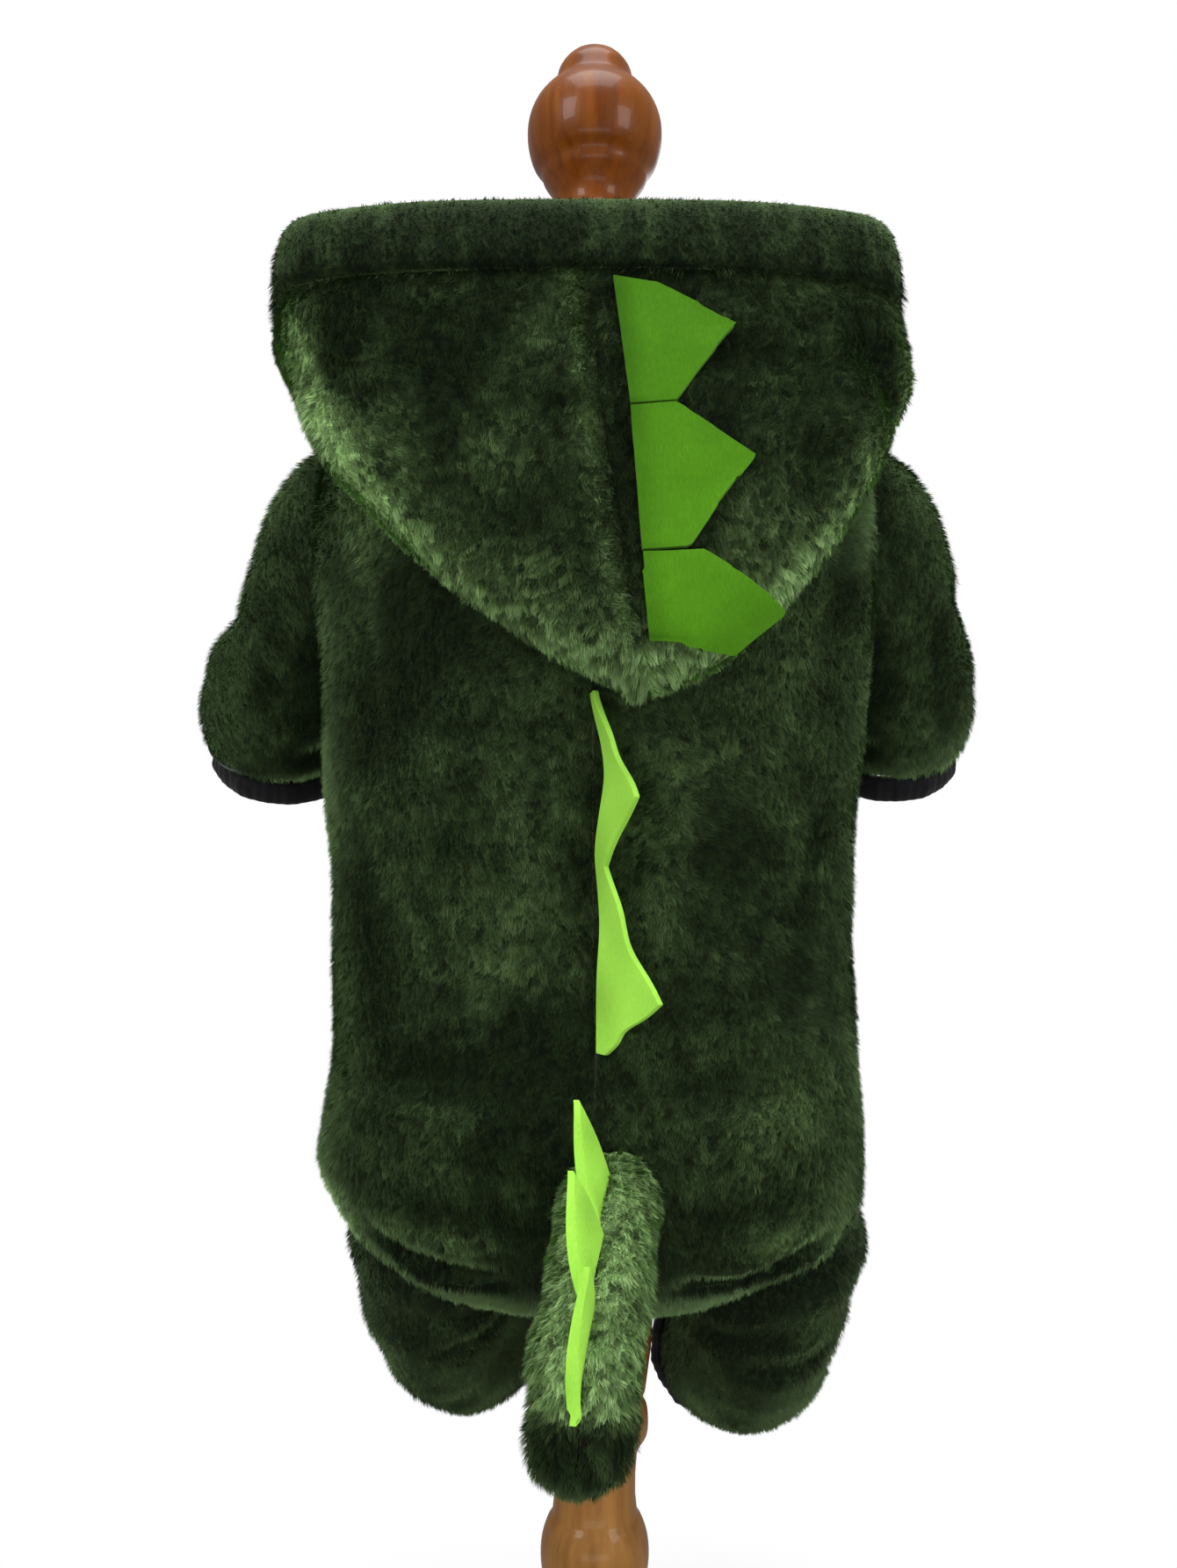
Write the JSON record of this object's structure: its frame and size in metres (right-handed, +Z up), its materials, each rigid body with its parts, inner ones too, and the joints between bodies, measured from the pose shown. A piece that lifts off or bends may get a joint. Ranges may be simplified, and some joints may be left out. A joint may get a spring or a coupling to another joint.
{
  "type": "hooded dog pajamas on a dress form",
  "caption": "Green plush pajamas for a small dog, with a hood, sleeves, legs, stuffed tail and lime felt spikes, worn by a limbless dress form on a turned wooden stand.",
  "frame": {"origin": "centre of the stand's underside", "axes": "+Z up along the post, the garment's back faces -Y and its belly faces +Y"},
  "size_m": [0.3459, 0.2676, 0.7167],
  "materials": {
    "plush": "short brushed plush fleece, dark green",
    "felt": "lime green felt",
    "binding": "black ribbed elastic binding",
    "cover": "plain woven linen cover",
    "wood": "varnished turned wood"
  },
  "bodies": {
    "root": {"back_left": "plush", "back_right": "plush", "belly_left": "plush", "belly_right": "plush", "sleeve_left": "plush", "sleeve_right": "plush", "sleeve_cuff_left": "binding", "sleeve_cuff_right": "binding", "leg_left": "plush", "leg_right": "plush", "leg_cuff_left": "binding", "leg_cuff_right": "binding", "hood_left": "plush", "hood_right": "plush", "hood_band_left": "plush", "hood_band_right": "plush", "tail_left": "plush", "tail_right": "plush", "hood_spike_1": "felt", "hood_spike_2": "felt", "hood_spike_3": "felt", "back_spikes": "felt", "tail_spike_1": "felt", "tail_spike_2": "felt", "tail_spike_3": "felt", "form_torso": "cover", "finial": "wood", "post": "wood", "base": "wood"}
  },
  "joints": []
}
